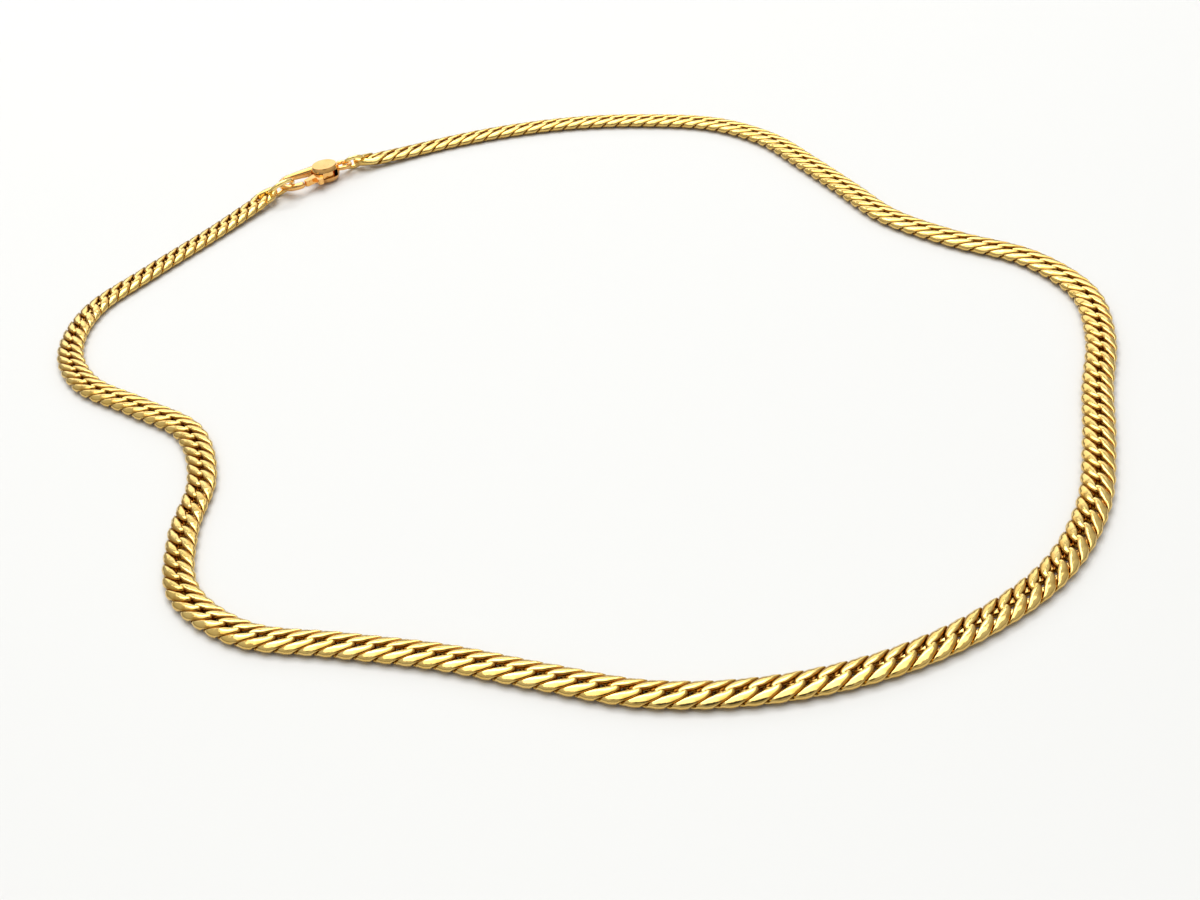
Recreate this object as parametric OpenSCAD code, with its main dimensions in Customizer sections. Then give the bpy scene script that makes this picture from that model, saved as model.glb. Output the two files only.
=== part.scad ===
// Flat curb chain necklace, lying in one closed loop, fastened with a lobster clasp.
// Millimetres. X runs along the front, Y points to the clasp side, Z is up.
// The surface that the chain lies on is z = 0, and the origin is the middle of the loop.

/* [Chain] */
// Width across the flattened links
chain_w = 4; // [3.6:0.1:4.2]
// Thickness of the flattened links
chain_t = 1.3; // [1.1:0.1:1.4]
// Width of the flat on the top and on the underside
flat_w = 2.9; // [2.4:0.1:3.1]

/* [End links] */
// Length over the last link at each end of the chain
link_len = 6; // [5.8:0.1:6.1]
// Wire of the last links
link_wire = 0.9; // [0.8:0.05:0.95]

/* [Rings] */
// Diameter of the jump ring, to the middle of its wire
jump_d = 3.4; // [3.3:0.05:3.5]
// Wire of the jump ring
jump_wire = 0.65; // [0.55:0.05:0.7]
// Diameter of the end ring, to the middle of its wire
hook_ring_d = 4.4; // [4.35:0.05:4.5]
// Wire of the end ring
hook_ring_wire = 0.7; // [0.6:0.05:0.75]

/* [Clasp] */
// Length over the lobster clasp
clasp_len = 13.1; // [12.9:0.1:13.3]
// Thickness of the clasp's body
clasp_t = 2.5; // [2:0.1:2.5]
// Wire of the hook at its nose
hook_wire = 1.1; // [1:0.05:1.15]
// Thickness of the lever
lever_t = 0.95; // [0.8:0.05:1]
// Diameter of the lever's pin
pin_d = 0.8; // [0.6:0.1:0.8]
// How far the lever is turned into the hook, in degrees
lever_turn = 0; // [0:1:25]

/* [Hidden] */
$fn = 64;
gold = "gold";
dark_gold = "goldenrod";

// Middle line of the chain, from the last link beside the clasp's tail, round by the right
// side and the front, to the last link beside the clasp's hook.
route = [
    [-24, 70], [-14, 72.5], [-3, 73.5], [8.5, 72.5], [20, 69], [30.5, 63.5], [38, 54.5],
    [42.5, 43.5], [46.5, 32.5], [50.5, 21.5], [57.5, 12], [65.5, 3.5], [69.5, -7.5],
    [68, -19], [64, -30], [60.5, -41], [56, -52.5], [49, -62], [39.5, -68.5],
    [28.5, -72.5], [16.5, -73.5], [5, -71.5], [-5.5, -66.5], [-16, -61], [-27, -56.5],
    [-38, -52], [-45.5, -43], [-47, -31.5], [-46, -20], [-49, -8.5], [-57, 0],
    [-65.5, 8.5], [-69.5, 19], [-68, 30.5], [-61, 40], [-53.5, 49], [-46.5, 57.5]];
// Places of the chain's own cross-section between one route point and the next
sections = 2;
last = len(route) - 1;
// The two halves of the chain meet at this route point
meet = 18;
// The rings under the last links lift the ends of the chain by this much
end_lift = 0.3;
// Gap between the chain and its last links
link_gap = 0.1;
// Height of the wire's middle at the outer end of a last link
link_end_z = 1.5;

// Mirrored neighbours stand in for the points beyond the two ends
function knot(i) =
    i < 0 ? 2 * route[0] - route[1] :
    i > last ? 2 * route[last] - route[last - 1] : route[i];
function blend(a, b, c, d, t) =
    (2 * b + (c - a) * t + (2 * a - 5 * b + 4 * c - d) * t * t
    + (3 * b - a - 3 * c + d) * t * t * t) / 2;
function on_route(t) =
    let (i = min(floor(t), last - 1))
    blend(knot(i - 1), knot(i), knot(i + 1), knot(i + 2), t - i);
function along(t) =
    let (step = on_route(min(t + 0.01, last)) - on_route(max(t - 0.01, 0)))
    step / norm(step);
function lift(t) = end_lift * pow(max(0, 1 - min(t, last - t)), 2);

// Cross-section of the chain, anticlockwise, as [across, up]
edge_in = 0.16;
band = [
    [flat_w / 2, 0], [chain_w / 2 - edge_in, 0.25 * chain_t], [chain_w / 2, chain_t / 2],
    [chain_w / 2 - edge_in, 0.75 * chain_t], [flat_w / 2, chain_t],
    [-flat_w / 2, chain_t], [edge_in - chain_w / 2, 0.75 * chain_t], [-chain_w / 2, chain_t / 2],
    [edge_in - chain_w / 2, 0.25 * chain_t], [-flat_w / 2, 0]];
sides = len(band);

function band_at(t) =
    let (p = on_route(t), d = along(t))
    [for (b = band) [p.x + b.x * d.y, p.y - b.x * d.x, b.y + lift(t)]];

// Where the two last links hang on, and the line of the clasp between them
tail_dir = -along(0);
hook_dir = along(last);
tail_end = route[0] + tail_dir * (link_gap + link_len);
hook_end = route[last] + hook_dir * (link_gap + link_len);
clasp_dir = hook_end - tail_end;
clasp_angle = atan2(clasp_dir.y, clasp_dir.x);

// Places along the clasp, from the outer end of its tail
clasp_start = 0.4;
clasp_z = 1.6;
jump_at = [0.05, 0.35];
jump_lean = -41;
jump_yaw = -10;
hook_ring_at = [13.65, 1.15];
hook_ring_lean = -46;
hook_ring_yaw = 10;
tail_r = 1.25;
tail_wire = 0.7;
tail_x = tail_r + tail_wire / 2;
house_r = 2.35;
house_x = 4.75;
pivot = [4.6, 0.6];
nose_r = 2.2;
nose_x = clasp_len - hook_wire / 2 - nose_r;
tip_x = 10;
back_x = 4.9;
back_y = -1.5;
back_wire = 1.9;
slot_t = lever_t + 0.15;
slot_x = [3.3, 7.3];
slot_y = -0.9;
pin_fit = 0.02;
lever_fit = 0.05;
lever_root_r = 1.15;
lever_end = [8.85, 1.95];
lever_end_r = 0.5;
lever_arm_r = 1;
lever_step = 0.03;
nub = [6.9, 3];
nub_foot = [6.5, 1.3];
nub_foot_r = 0.8;
nub_r = 0.5;

module band_run(first, end) {
    count = (end - first) * sections;
    rings = [for (k = [0:count]) band_at(first + k / sections)];
    walls = [for (k = [0:count - 1], j = [0:sides - 1])
        let (n = (j + 1) % sides)
        [k * sides + j, k * sides + n, (k + 1) * sides + n, (k + 1) * sides + j]];
    near_cap = [for (j = [sides - 1:-1:0]) j];
    far_cap = [for (j = [0:sides - 1]) count * sides + j];
    polyhedron([for (r = rings) each r], concat(walls, [near_cap], [far_cap]), convexity = 10);
}

// A torus whose axis is Z
module ring(d, wire) {
    rotate_extrude() translate([d / 2, 0]) circle(d = wire);
}

// A rod between two points of one level
module rod(a, b, d1, d2) {
    step = b - a;
    translate([a.x, a.y, 0]) rotate([0, 0, atan2(step.y, step.x)]) rotate([0, 90, 0])
        cylinder(d1 = d1, d2 = d2, h = norm(step));
}

// A straight-sided oval of wire, long along X
module oval(length, width, wire) {
    bend = (width - wire) / 2;
    half = length / 2 - wire / 2 - bend;
    for (side = [-1, 1]) {
        translate([side * half, 0, 0]) rotate([0, 0, -side * 90])
            rotate_extrude(angle = 180) translate([bend, 0]) circle(d = wire);
        rod([-half, side * bend], [half, side * bend], wire, wire);
    }
}

// The last link lies with its outer end on the ring that passes under it
module end_link(end, dir) {
    inner_z = chain_t / 2 + end_lift;
    rise = asin((link_end_z - inner_z) / (link_len - link_wire));
    mid = end - dir * link_len / 2;
    color(gold) translate([mid.x, mid.y, (inner_z + link_end_z) / 2])
        rotate([0, 0, atan2(dir.y, dir.x)]) rotate([0, -rise, 0])
            oval(link_len, chain_w, link_wire);
}

// Puts things on the line of the clasp, X from its tail to its nose
module on_clasp(x, z) {
    translate([tail_end.x, tail_end.y, z]) rotate([0, 0, clasp_angle])
        translate([x, 0, 0]) children();
}

// A ring that leans to one side, with its lower side on the surface
module leaning_ring(at, d, wire, lean, yaw) {
    color(gold) on_clasp(at.x, d / 2 * cos(lean) + wire / 2)
        translate([0, at.y, 0]) rotate([90 + lean, 0, yaw]) ring(d, wire);
}

module chain_right() {
    color(gold) band_run(0, meet);
}

module chain_left() {
    color(gold) band_run(meet, last);
}

module end_link_right() {
    end_link(tail_end, tail_dir);
}

module end_link_left() {
    end_link(hook_end, hook_dir);
}

module jump_ring() {
    leaning_ring(jump_at, jump_d, jump_wire, jump_lean, jump_yaw);
}

module hook_ring() {
    leaning_ring(hook_ring_at, hook_ring_d, hook_ring_wire, hook_ring_lean, hook_ring_yaw);
}

// The hook: a tapered back, a half round nose and a short return to the tip
module hook() {
    rod([back_x, back_y], [nose_x, -nose_r], back_wire, hook_wire);
    translate([nose_x, 0, 0]) rotate([0, 0, -90])
        rotate_extrude(angle = 180) translate([nose_r, 0]) circle(d = hook_wire);
    rod([tip_x, nose_r], [nose_x, nose_r], hook_wire, hook_wire);
    translate([tip_x, nose_r, 0]) sphere(d = hook_wire);
}

module clasp_body() {
    color(dark_gold) on_clasp(clasp_start, clasp_z) difference() {
        union() {
            translate([tail_x, 0, 0]) ring(2 * tail_r, tail_wire);
            translate([house_x, 0, 0]) intersection() {
                sphere(r = house_r);
                cube([2 * house_r + 1, 2 * house_r + 1, clasp_t], center = true);
            }
            hook();
        }
        translate([slot_x[0], slot_y, -slot_t / 2])
            cube([slot_x[1] - slot_x[0], 2 * house_r, slot_t]);
        translate([pivot.x, pivot.y, -clasp_t])
            cylinder(d = pin_d + 2 * pin_fit, h = 2 * clasp_t);
    }
}

// A flat bar with straight sides, from half width ra at a to half width rb at b
module bar(a, b, ra, rb) {
    side = [a.y - b.y, b.x - a.x] / norm(b - a);
    linear_extrude(lever_t) polygon([a - side * ra, b - side * rb, b + side * rb, a + side * ra]);
}

module disc(p, r) {
    translate([p.x, p.y, 0]) cylinder(r = r, h = lever_t);
}

// Root, arm with a round end, and the nub that a fingernail pushes
module lever_plate() {
    translate([0, 0, -lever_t / 2]) union() {
        disc(pivot, lever_root_r);
        bar(pivot, lever_end, lever_arm_r, lever_end_r - lever_step);
        disc(lever_end, lever_end_r);
        bar(nub_foot, nub, nub_foot_r, nub_r - lever_step);
        disc(nub, nub_r);
    }
}

module clasp_lever() {
    color(dark_gold) on_clasp(clasp_start, clasp_z)
        translate(pivot) rotate([0, 0, -lever_turn]) translate(-pivot)
            difference() {
                lever_plate();
                translate([pivot.x, pivot.y, -clasp_t])
                    cylinder(d = pin_d + 2 * lever_fit, h = 2 * clasp_t);
            }
}

module lever_pin() {
    color(dark_gold) on_clasp(clasp_start, clasp_z)
        translate([pivot.x, pivot.y, -clasp_t / 2]) cylinder(d = pin_d, h = clasp_t);
}

chain_right();
chain_left();
end_link_right();
end_link_left();
jump_ring();
hook_ring();
clasp_body();
clasp_lever();
lever_pin();
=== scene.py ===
"""Looks of a flat curb chain necklace: linked chain, rings, clasp, gold, table and light.

Metres, in the frame of part.scad: X along the front, Y to the clasp side, Z up, table at 0.
"""
import math

import bmesh
import bpy
import numpy as np
from mathutils import Matrix, Vector


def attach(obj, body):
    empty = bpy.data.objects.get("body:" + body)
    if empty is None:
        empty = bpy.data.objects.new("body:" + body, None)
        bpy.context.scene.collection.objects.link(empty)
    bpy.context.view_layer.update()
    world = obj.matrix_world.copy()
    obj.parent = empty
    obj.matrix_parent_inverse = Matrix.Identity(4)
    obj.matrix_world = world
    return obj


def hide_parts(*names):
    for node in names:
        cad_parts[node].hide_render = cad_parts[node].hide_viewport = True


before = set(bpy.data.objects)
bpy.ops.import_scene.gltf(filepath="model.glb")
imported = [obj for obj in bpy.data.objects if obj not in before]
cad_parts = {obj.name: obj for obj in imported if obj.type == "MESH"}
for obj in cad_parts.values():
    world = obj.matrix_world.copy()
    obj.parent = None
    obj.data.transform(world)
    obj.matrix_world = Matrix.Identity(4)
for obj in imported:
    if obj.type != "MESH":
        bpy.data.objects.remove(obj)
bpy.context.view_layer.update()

MM = 0.001

# Middle line of the chain, from the clasp's tail round by the front to its hook
ROUTE = MM * np.array([
    (-24, 70), (-14, 72.5), (-3, 73.5), (8.5, 72.5), (20, 69), (30.5, 63.5), (38, 54.5),
    (42.5, 43.5), (46.5, 32.5), (50.5, 21.5), (57.5, 12), (65.5, 3.5), (69.5, -7.5),
    (68, -19), (64, -30), (60.5, -41), (56, -52.5), (49, -62), (39.5, -68.5),
    (28.5, -72.5), (16.5, -73.5), (5, -71.5), (-5.5, -66.5), (-16, -61), (-27, -56.5),
    (-38, -52), (-45.5, -43), (-47, -31.5), (-46, -20), (-49, -8.5), (-57, 0),
    (-65.5, 8.5), (-69.5, 19), (-68, 30.5), (-61, 40), (-53.5, 49), (-46.5, 57.5)])
LAST = len(ROUTE) - 1
MEET = 18                               # point of the route where the two halves meet
STEPS_PER_POINT = 60
END_LIFT = 0.3 * MM                     # rise over the last stretch of the route at each end

# The chain and the places of its links
CHAIN_W = 4 * MM
CHAIN_T = 1.3 * MM
END_GAP = 0.1 * MM                      # between the chain's solid and a last link's
LAST_LINK_HALF = 3 * MM                 # half the length of a last link's solid
LINK_LEN = 5.98 * MM
LINK_PITCH = 2.348 * MM
LINK_COUNT = 184                        # with the last link at each end
LINK_RISE = 0.55 * MM                   # how far the free end of a last link leans up

# Outline of a link: a long hexagon with soft corners
NOSE_SOFT = 0.6 * MM                    # higher is a rounder nose
SIDE_LEAN = 1.2                         # run of the slanted sides for each unit across
SHOULDER = 4.5                          # higher is sharper, where they meet the long sides
OUTLINE_REACH = 1.5                     # in half lengths, always outside the outline
HALVINGS = 30                           # of the span in which the outline is searched

# Width of a link's wire, by fold: degrees from 0 at a nose to 90 at the chain's edge
WIRE_NOSE = 0.6 * MM                    # at a nose
HOLE_SLOPE = 0.27                       # of the hole's edge, seen from above
SLIT_WIDE, SLIT_NARROW = 0.3 * MM, 0.14 * MM
SLIT_CLOSES = (60, 88)                  # folds over which the slit goes from wide to narrow
ROOM_STEP = 0.01 * MM                   # of the search for the next link
CORNER_BLEND = 8                        # higher is sharper, where hole and slit meet

# Height of the wire. It has an upper and a lower layer, and a link's neighbours hold one
# of the two where the links cross.
CLEAR = 0.02 * MM                       # left free on each side between the layers
NOSE_DIVES = (5, 14)                    # folds over which the wire gives up the other layer
FIN_FADES = (40, 62)                    # folds over which what is left there narrows to 0
FIN_GROWS = (66, 74)                    # folds over which it takes the layer up again
STEP_TURN = 10                          # degrees from the edge in which the layers change
EVEN_FROM = 0.9                         # ratio of the two widths that starts to count as even
FREE_FROM = 0.01                        # cosine from which a last link's side is plain
CROWN = 0.2                             # share of the height lost at the chain's edge

# Section of the wire: rounded corners of CORNER_STEPS points each
LINK_STEPS = 52                         # sections in a link
CORNER_STEPS = 4
INNER_ROUND = 0.3 * MM                  # radius of the inner corners
OUTER_ROUND = (0.4 * MM, 1.0 * MM)      # of the outer ones, at a nose and the chain's edge
OUTER_DROP = (0.42 * MM, 0.6 * MM)      # height of the outer ones, likewise
EDGE_POWER = 3                          # higher keeps the nose's values further round
WIDTH_SHARE = 0.4                       # most of the wire's width that a corner may take
OUTER_SHARE = 0.45                      # most of its height for an outer corner
INNER_SHARE = 0.8                       # most of its layer's height for an inner corner
WELD = 0.002                            # mm, points nearer than this are made one
FLATS_WEIGH = 100                       # how far large faces rule the shading

# How deep in a gap a point of the chain lies, which sets its painted shade: 0 is open and 1 is
# deep
SHADE_DEPTH_NAME = "painted_shade_depth"
COVERED_TO = (52, 74)                   # folds over which the wire comes out from its cover and its painted shade fades
SIDE_SHADE = 0.35                        # depth of painted shade on an outer side that lies open
DEPTH_CURVE = 0.5                       # below 1 keeps the painted shade further up a corner

# Gold: its bright tone, its deeper tone, the colour of its painted shade deep in a gap, and its
# roughness
CHAIN_GOLD = ((0.99, 0.74, 0.27), (0.92, 0.64, 0.19), (0.44, 0.2, 0.015), 0.13)
CLASP_GOLD = ((0.97, 0.56, 0.2), (0.88, 0.48, 0.14), (0.42, 0.19, 0.03), 0.12)
TONE_NOISE = (420, 3)                   # scale and detail
TONE_SPAN = (0.3, 0.7)                  # noise at the deeper and at the bright tone
POLISH_NOISE = (2600, 4)
POLISH_SPREAD = (0.6, 1.4)              # least and most of the roughness
POLISH_BUMP = (0.7, 0.02 * MM)          # strength and depth

TABLE_HALF = 6                          # metres, so that its edge stays far away
TABLE_DROP = 0.05 * MM                  # keeps the table's face off the chain's underside
TABLE_ROUGHNESS = 0.6
TABLE_GRAIN = 6                         # scale of its faint clouds
TABLE_TONES = ((0, (0.725, 0.725, 0.715)), (1, (0.755, 0.755, 0.745)))

# Place, size and brightness of each lamp
LAMPS = (("ceiling_lamp", (0, 0.05, 1.3), (1.7, 1.4), 1.6),
         ("window_lamp", (-0.1, 0.72, 0.96), (0.9, 0.38), 4.5),
         ("far_wall_lamp", (0, 1.3, 0.6), (1.8, 0.5), 0.9))

# The room round the table: brightness by height, and a soft dark patch
ROOM_TONES = ((0.02, (0.24, 0.24, 0.24)), (0.4, (0.54, 0.54, 0.53)), (0.9, (0.66, 0.66, 0.64)))
DARK_WAY = (0, -0.57, 0.82)             # the patch lies above the front of the table
DARK_EDGE = (0.86, 0.96)                # cosines from its middle where it starts and is full
DARK_LEFT = 0.1                         # share of the brightness left in it

# The photo's view
VIEW_DOWN, VIEW_ROLL = math.radians(34.01), math.radians(8.70)
VIEW_PLACE = (0.00376, -0.19717, 0.11539)
LENS, SENSOR = 50.64, 36                # mm
CLIP = (0.005, 20)                      # metres, nearest and farthest


def smooth(a, b, x):
    """From 0 at a to 1 at b, level at both ends."""
    t = np.clip((x - a) / (b - a), 0, 1)
    return t * t * (3 - 2 * t)


def knot(i):
    """Route point i, and one more past each end, straight on."""
    if i < 0:
        return 2 * ROUTE[0] - ROUTE[1]
    if i > LAST:
        return 2 * ROUTE[LAST] - ROUTE[LAST - 1]
    return ROUTE[i]


def on_route(t):
    """A point of the chain's middle line, at route point number t."""
    i = min(int(t), LAST - 1)
    f = t - i
    a, b, c, d = (knot(i + k) for k in (-1, 0, 1, 2))
    return (2 * b + (c - a) * f + (2 * a - 5 * b + 4 * c - d) * f ** 2
            + (3 * b - a - 3 * c + d) * f ** 3) / 2


class Line:
    """The middle line by its length, carried on straight past both ends."""

    def __init__(self):
        self.t = np.linspace(0, LAST, LAST * STEPS_PER_POINT + 1)
        self.points = np.array([on_route(t) for t in self.t])
        steps = np.linalg.norm(np.diff(self.points, axis=0), axis=1)
        self.s = np.concatenate([[0], np.cumsum(steps)])
        self.length = self.s[-1]
        along = np.gradient(self.points, self.s, axis=0)
        self.along = along / np.linalg.norm(along, axis=1)[:, None]

    def at_point(self, number):
        """Length of the line up to a route point."""
        return float(np.interp(number, self.t, self.s))

    def place(self, s):
        """Point, direction and lift at each length in s."""
        inside = np.clip(s, 0, self.length)
        point = np.stack([np.interp(inside, self.s, self.points[:, k]) for k in (0, 1)], -1)
        along = np.stack([np.interp(inside, self.s, self.along[:, k]) for k in (0, 1)], -1)
        along /= np.linalg.norm(along, axis=-1)[..., None]
        point = point + along * (s - inside)[..., None]
        t = np.interp(inside, self.s, self.t)
        lift = END_LIFT * np.maximum(0, 1 - np.minimum(t, LAST - t)) ** 2
        return point, along, lift


def outline_form(x, y):
    """Below 1 inside the link's outline and above 1 outside."""
    sloped = (abs(x) + SIDE_LEAN * (math.hypot(y, NOSE_SOFT) - NOSE_SOFT)) / (LINK_LEN / 2)
    return (sloped ** SHOULDER + (abs(y) / (CHAIN_W / 2)) ** SHOULDER) ** (1 / SHOULDER)


def outline_point(turn):
    """The outline at an angle round the link, and the way inward from there."""
    cosine, sine = math.cos(math.radians(turn)), math.sin(math.radians(turn))
    way = np.array([-cosine * LINK_LEN / 2, sine * CHAIN_W / 2])
    low, high = 0, OUTLINE_REACH
    for _ in range(HALVINGS):
        middle = (low + high) / 2
        if outline_form(*(middle * way)) < 1:
            low = middle
        else:
            high = middle
    return low * way, np.array([cosine, -sine])


def room(turn):
    """From the link's outline at an angle, the way inward to the next link's outline."""
    point, inward = outline_point(turn)
    for width in np.arange(0, LINK_LEN, ROOM_STEP):
        x, y = point + width * inward
        if outline_form(x - LINK_PITCH, y) < 1:
            return width
    return LINK_LEN


def slit(fold):
    """Width of the gap to the next link: widest in the middle of the chain."""
    return SLIT_WIDE + (SLIT_NARROW - SLIT_WIDE) * smooth(*SLIT_CLOSES, fold)


def own_width(fold):
    """Width of the wire in its own layer, up to the link's hole or the next link."""
    point, inward = outline_point(fold)
    hole_edge = HOLE_SLOPE * (point[0] + LINK_LEN / 2 - WIRE_NOSE)
    to_hole = (point[1] - hole_edge) / (HOLE_SLOPE * inward[0] - inward[1])
    to_slit = max(room(fold) - slit(fold), CLEAR)
    return (to_hole ** -CORNER_BLEND + to_slit ** -CORNER_BLEND) ** (-1 / CORNER_BLEND)


def other_width(fold):
    """Width of the wire in the other layer, where it reaches over at the edge and nose."""
    if fold < FIN_GROWS[0]:
        return own_width(fold) * (1 - smooth(*FIN_FADES, fold))
    return max(0, min(own_width(fold), room(180 - fold) - SLIT_NARROW))


def outer_corner(width, level, height, radius, drop, covered, sign):
    """From the side of the wire to its flat, cut short where the flat is narrower."""
    reach = max(0, width - min(INNER_ROUND, WIDTH_SHARE * width))
    swing = math.acos(max(0, 1 - reach / radius))
    arc = np.linspace(0, swing, CORNER_STEPS)
    rise = min(OUTER_SHARE * height, drop)
    # Painted shade: deepest on the wire's side, never less than an open side's share, and none
    # at the flat.
    depth = max(covered, SIDE_SHADE) * np.linspace(1, 0, CORNER_STEPS) ** DEPTH_CURVE
    return np.stack([radius * (1 - np.cos(arc)), level - sign * rise * (1 - np.sin(arc)),
                     depth], 1)


def inner_corner(width, flat, part, sign):
    """From the end of the flat down to the wire's inner side."""
    arc = np.linspace(math.pi / 2, 0, CORNER_STEPS)
    across, drop = min(INNER_ROUND, WIDTH_SHARE * width), min(INNER_ROUND, INNER_SHARE * part)
    # Painted shade that deepens from none at the flat to full on the wire's inner side.
    return np.stack([width - across * (1 - np.cos(arc)), flat - sign * drop * (1 - np.sin(arc)),
                     np.linspace(0, 1, CORNER_STEPS) ** DEPTH_CURVE], 1)


def wire_section(width_low, width_high, low, high, step, radius, drop, covered):
    """The wire's section as (inward, up, how deep in a gap for the painted shade), from its
    outer lower corner.
    """
    outer_low = outer_corner(width_low, low, high - low, radius, drop, covered, -1)
    outer_high = outer_corner(width_high, high, high - low, radius, drop, covered, 1)
    inner_low = inner_corner(width_low, outer_low[-1, 1], step - low, -1)
    inner_high = inner_corner(width_high, outer_high[-1, 1], high - step, 1)
    # The wire's inner side gets the full painted shade.
    return np.concatenate([outer_low, inner_low, [(width_low, step, 1), (width_high, step, 1)],
                           inner_high[::-1], outer_high[::-1]])


def layer_step(half_turn, fold, low, high, ratio):
    """Height on the wire's inner side where its one width changes to the other."""
    step = CLEAR * np.clip((90 - half_turn) / STEP_TURN, -1, 1)
    if fold < FIN_FADES[0]:
        even = smooth(EVEN_FROM, 1, ratio)
        step = (1 - even) * step + even * (low + high) / 2
    return min(max(step, low), high)


def wire_at(turn, free_side):
    """The wire's section at an angle round the link, 0 at the nose behind.
    It is plain on the free side of a last link: -1 behind, 1 ahead, 0 for no such side."""
    half_turn = turn % 180
    fold = min(half_turn, 180 - half_turn)
    full = CHAIN_T / 2 + CLEAR
    own, other = own_width(fold), other_width(fold)
    own_h = full - CLEAR
    other_h = max(1 - smooth(*NOSE_DIVES, fold), smooth(*FIN_GROWS, fold)) * full - CLEAR
    if free_side * math.cos(math.radians(turn)) < -FREE_FROM:
        other, other_h = own, own_h
    if half_turn < 90:
        low, high, width_low, width_high = -other_h, own_h, other, own
    else:
        low, high, width_low, width_high = -own_h, other_h, own, other
    step = layer_step(half_turn, fold, low, high, other / own)
    edge = abs(math.sin(math.radians(turn))) ** EDGE_POWER
    radius = OUTER_ROUND[0] + (OUTER_ROUND[1] - OUTER_ROUND[0]) * edge
    drop = OUTER_DROP[0] + (OUTER_DROP[1] - OUTER_DROP[0]) * edge
    # Where the wire lies under a neighbour it gets painted shade.
    covered = 1 - smooth(*COVERED_TO, fold)
    return wire_section(width_low, width_high, low, high, step, radius, drop, covered)


def curb_link(free_side):
    """One link as rings of points: x along the chain, y outward, z up, and depth in a gap for
    the painted shade.
    The wire is a tight flat twist. The quarter behind on the outer row and the quarter ahead
    on the inner row lie on top, and the other two lie under the neighbours."""
    rings = []
    for turn in np.arange(LINK_STEPS) * 360 / LINK_STEPS:
        point, inward = outline_point(turn)
        section = wire_at(turn, free_side)
        plan = point + section[:, :1] * inward
        up = section[:, 1] * (1 - CROWN * (2 * plan[:, 1] / CHAIN_W) ** 2)
        rings.append(np.column_stack([plan, up, section[:, 2]]))
    return np.array(rings)


def loop_faces(steps, sides):
    """Quads of a closed loop of rings."""
    return [(i * sides + k, (i + 1) % steps * sides + k,
             (i + 1) % steps * sides + (k + 1) % sides, i * sides + (k + 1) % sides)
            for i in range(steps) for k in range(sides)]


def link_form(free_side=0):
    """A link's points and faces, with points that fall together welded into one."""
    rings = curb_link(free_side)
    form = bmesh.new()
    # Each point keeps how deep its painted shade is.
    depth = form.verts.layers.float.new(SHADE_DEPTH_NAME)
    for x, y, z, deep in rings.reshape(-1, 4):
        form.verts.new((x / MM, y / MM, z / MM))[depth] = deep
    form.verts.ensure_lookup_table()
    for face in loop_faces(*rings.shape[:2]):
        form.faces.new([form.verts[i] for i in face])
    bmesh.ops.remove_doubles(form, verts=form.verts, dist=WELD)
    form.verts.index_update()
    points = np.array([(*(MM * v.co), v[depth]) for v in form.verts])
    faces = [[v.index for v in face.verts] for face in form.faces]
    form.free()
    return points, faces


def mesh_piece(name, points, faces, material, body="necklace"):
    """A smooth-shaded mesh that rides on a body."""
    mesh = bpy.data.meshes.new(name)
    mesh.from_pydata([tuple(p[:3]) for p in points], [], faces)
    mesh.update()
    # How deep in a gap each point lies, for the gold's painted shade.
    depth = mesh.attributes.new(SHADE_DEPTH_NAME, "FLOAT", "POINT")
    depth.data.foreach_set("value", np.ascontiguousarray(points[:, 3]))
    mesh.shade_smooth()
    mesh.materials.append(material)
    piece = bpy.data.objects.new(name, mesh)
    bpy.context.scene.collection.objects.link(piece)
    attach(piece, body)
    return piece


def weigh_normals(piece):
    """Keeps the flats flat where they meet the rounded edges."""
    normals = piece.modifiers.new("flats", "WEIGHTED_NORMAL")
    normals.weight = FLATS_WEIGH
    return piece


def bent_links(line, form, centres):
    """Links laid along the line, bent with it, and their faces."""
    link, link_faces = form
    points, faces = [], []
    for n, centre in enumerate(centres):
        place, along, lift = line.place(centre + link[:, 0])
        out = np.stack([-along[:, 1], along[:, 0]], 1)
        plan = place + link[:, 1:2] * out
        points.append(np.column_stack([plan, CHAIN_T / 2 + lift + link[:, 2], link[:, 3]]))
        faces += [[i + n * len(link) for i in face] for face in link_faces]
    return np.concatenate(points), faces


def link_centres(line):
    """Lengths of the line at the links' middles, from one last link to the other."""
    first = -END_GAP - LAST_LINK_HALF
    last = line.length + END_GAP + LAST_LINK_HALF
    return np.linspace(first, last, LINK_COUNT)


def build_chain(line, material):
    """The two halves of the chain, which meet at the front."""
    form = link_form()
    centres = link_centres(line)[1:-1]
    meet = line.at_point(MEET)
    halves = (("chain_right", centres[centres < meet]), ("chain_left", centres[centres >= meet]))
    for node, places in halves:
        points, faces = bent_links(line, form, places)
        piece = weigh_normals(mesh_piece(node + "_links", points, faces, material))
        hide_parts(node)


def build_end_links(line, material):
    """The last link at each end leans up to lie on its ring."""
    for node, centre, side in (("end_link_right", link_centres(line)[0], -1),
                               ("end_link_left", link_centres(line)[-1], 1)):
        form = link_form(side)
        points, faces = bent_links(line, form, [centre])
        share = np.clip(side * form[0][:, 0] / LINK_LEN + 0.5, 0, 1)
        points[:, 2] += LINK_RISE * share
        # The painted shade fades out towards the last link's free end, which nothing covers.
        points[:, 3] *= 1 - share
        piece = weigh_normals(mesh_piece(node + "_curb", points, faces, material))
        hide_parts(node)


def socket(node, name, value):
    """Sets the value of a node's own input."""
    node.inputs[name].default_value = value


def new_material(name):
    """A material with nodes, its node tree and its shader."""
    material = bpy.data.materials.new(name)
    material.use_nodes = True
    tree = material.node_tree
    return material, tree, tree.nodes["Principled BSDF"]


def noise(tree, place, scale, detail):
    """Soft noise by place, from 0 to 1."""
    node = tree.nodes.new("ShaderNodeTexNoise")
    socket(node, "Scale", scale)
    socket(node, "Detail", detail)
    tree.links.new(place, node.inputs["Vector"])
    return node.outputs["Fac"]


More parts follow.
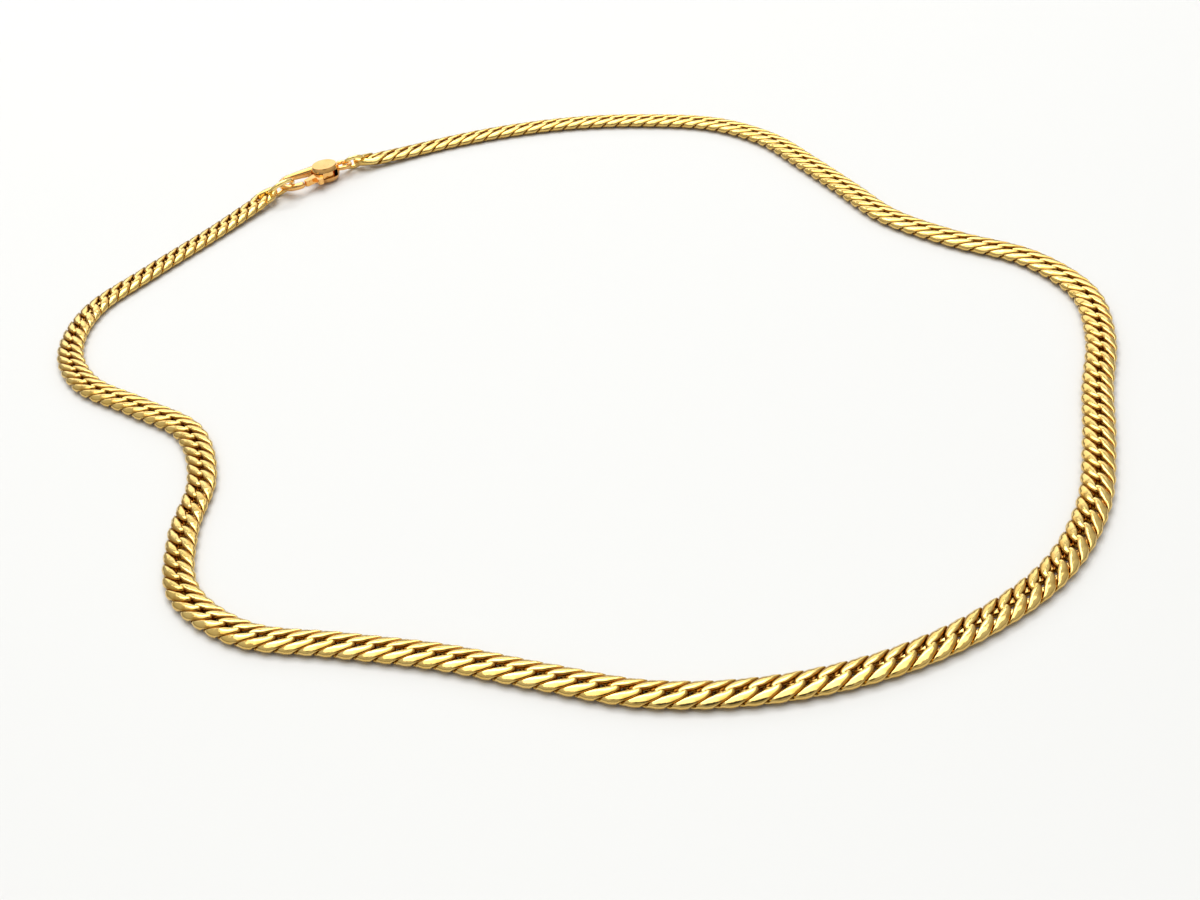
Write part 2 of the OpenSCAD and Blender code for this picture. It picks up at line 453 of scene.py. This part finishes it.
def ramp(tree, value, stops):
    """Colours by value, blended between rising stops of (value, colour)."""
    node = tree.nodes.new("ShaderNodeValToRGB")
    elements = node.color_ramp.elements
    for element, (position, colour) in zip(elements, (stops[0], stops[-1])):
        element.position, element.color = position, (*colour, 1)
    for position, colour in stops[1:-1]:
        elements.new(position).color = (*colour, 1)
    tree.links.new(value, node.inputs["Fac"])
    return node.outputs["Color"]


def mapped(tree, value, ends):
    """A value carried from one range to another."""
    node = tree.nodes.new("ShaderNodeMapRange")
    for name, end in ends.items():
        socket(node, name, end)
    tree.links.new(value, node.inputs["Value"])
    return node.outputs["Result"]


def painted_gap_shade(tree, colour, shaded):
    """A colour that turns to the painted shade colour where the mesh lies deep in a gap."""
    depth = tree.nodes.new("ShaderNodeAttribute")
    depth.attribute_name = SHADE_DEPTH_NAME
    mix = tree.nodes.new("ShaderNodeMix")
    mix.data_type = "RGBA"
    tree.links.new(depth.outputs["Fac"], mix.inputs["Factor"])
    open_end, gap_end = [i for i in mix.inputs if i.type == "RGBA"]
    tree.links.new(colour, open_end)
    gap_end.default_value = (*shaded, 1)
    return [o for o in mix.outputs if o.type == "RGBA"][0]


def polish(tree, place, shader, roughness):
    """Soft polish marks, in roughness and in relief."""
    marks = noise(tree, place, *POLISH_NOISE)
    least, most = POLISH_SPREAD
    rough = mapped(tree, marks, {"To Min": roughness * least, "To Max": roughness * most})
    tree.links.new(rough, shader.inputs["Roughness"])
    bump = tree.nodes.new("ShaderNodeBump")
    strength, distance = POLISH_BUMP
    socket(bump, "Strength", strength)
    socket(bump, "Distance", distance)
    tree.links.new(marks, bump.inputs["Height"])
    tree.links.new(bump.outputs["Normal"], shader.inputs["Normal"])


def gold(name, bright, deep, shaded, roughness):
    """Plated and polished gold: slightly uneven colour, soft polish marks, painted shade in the
    gaps.
    """
    material, tree, shader = new_material(name)
    socket(shader, "Metallic", 1)
    place = tree.nodes.new("ShaderNodeTexCoord").outputs["Object"]
    tone = noise(tree, place, *TONE_NOISE)
    colour = ramp(tree, tone, ((TONE_SPAN[0], deep), (TONE_SPAN[1], bright)))
    # Base colour with painted shade mixed in deep in the gaps.
    tree.links.new(painted_gap_shade(tree, colour, shaded), shader.inputs["Base Color"])
    polish(tree, place, shader, roughness)
    return material


def dress_nodes(material, nodes):
    """Gives CAD nodes that stay as they are their gold."""
    for node in nodes:
        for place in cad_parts[node].material_slots:
            place.material = material


def table_paint():
    """Pale matt paint, a little uneven."""
    material, tree, shader = new_material("table_paint")
    socket(shader, "Roughness", TABLE_ROUGHNESS)
    grain = tree.nodes.new("ShaderNodeTexNoise")
    socket(grain, "Scale", TABLE_GRAIN)
    tree.links.new(ramp(tree, grain.outputs["Fac"], TABLE_TONES), shader.inputs["Base Color"])
    return material


def table():
    """A plain pale table top."""
    half = TABLE_HALF
    mesh = bpy.data.meshes.new("table")
    mesh.from_pydata([(-half, -half, 0), (half, -half, 0), (half, half, 0), (-half, half, 0)],
                     [], [(0, 1, 2, 3)])
    mesh.materials.append(table_paint())
    top = bpy.data.objects.new("table", mesh)
    top.location = (0, 0, -TABLE_DROP)
    bpy.context.scene.collection.objects.link(top)


def lamp(name, place, size, radiance):
    """A soft rectangular lamp of even brightness that faces the middle of the loop."""
    data = bpy.data.lights.new(name, "AREA")
    data.shape = "RECTANGLE"
    data.size, data.size_y = size
    data.energy = radiance * math.pi * size[0] * size[1]
    thing = bpy.data.objects.new(name, data)
    thing.location = place
    thing.rotation_euler = (-Vector(place)).to_track_quat("-Z", "Y").to_euler()
    bpy.context.scene.collection.objects.link(thing)


def dark_patch(tree, place):
    """Brightness of the room: full, but for a soft patch that the chain mirrors as dark."""
    towards = tree.nodes.new("ShaderNodeVectorMath")
    towards.operation = "DOT_PRODUCT"
    tree.links.new(place, towards.inputs[0])
    towards.inputs[1].default_value = DARK_WAY
    start, full = DARK_EDGE
    return mapped(tree, towards.outputs["Value"],
                  {"From Min": start, "From Max": full, "To Min": 1, "To Max": DARK_LEFT})


def room_light():
    """A dim room, darker low down than towards the ceiling."""
    world = bpy.data.worlds.new("room")
    world.use_nodes = True
    tree = world.node_tree
    background = tree.nodes["Background"]
    place = tree.nodes.new("ShaderNodeTexCoord").outputs["Generated"]
    height = tree.nodes.new("ShaderNodeSeparateXYZ")
    tree.links.new(place, height.inputs["Vector"])
    tree.links.new(ramp(tree, height.outputs["Z"], ROOM_TONES), background.inputs["Color"])
    tree.links.new(dark_patch(tree, place), background.inputs["Strength"])
    bpy.context.scene.world = world


def lights():
    """The lamps and the room, with colours shown as they are."""
    for name, place, size, radiance in LAMPS:
        lamp(name, place, size, radiance)
    room_light()
    bpy.context.scene.view_settings.view_transform = "Standard"


def camera():
    """The photo's view: 34 degrees down from the front, rolled a little."""
    level_up = Vector((0, math.sin(VIEW_DOWN), math.cos(VIEW_DOWN)))
    level_right = Vector((1, 0, 0))
    right = math.cos(VIEW_ROLL) * level_right - math.sin(VIEW_ROLL) * level_up
    up = math.sin(VIEW_ROLL) * level_right + math.cos(VIEW_ROLL) * level_up
    back = right.cross(up)
    data = bpy.data.cameras.new("photo_view")
    data.sensor_fit = "HORIZONTAL"
    data.sensor_width = SENSOR
    data.lens = LENS
    data.clip_start, data.clip_end = CLIP
    thing = bpy.data.objects.new("photo_view", data)
    turn = Matrix((right, up, back)).transposed().to_4x4()
    thing.matrix_world = Matrix.Translation(VIEW_PLACE) @ turn
    bpy.context.scene.collection.objects.link(thing)
    bpy.context.scene.camera = thing


def main():
    """Links the chain, dresses rings and clasp, and sets table, light and camera."""
    line = Line()
    chain_gold = gold("chain_gold", *CHAIN_GOLD)
    clasp_gold = gold("clasp_gold", *CLASP_GOLD)
    build_chain(line, chain_gold)
    build_end_links(line, chain_gold)
    dress_nodes(clasp_gold, ["clasp_body", "clasp_lever", "lever_pin"])
    dress_nodes(chain_gold, ["jump_ring", "hook_ring"])
    table()
    lights()
    camera()


main()
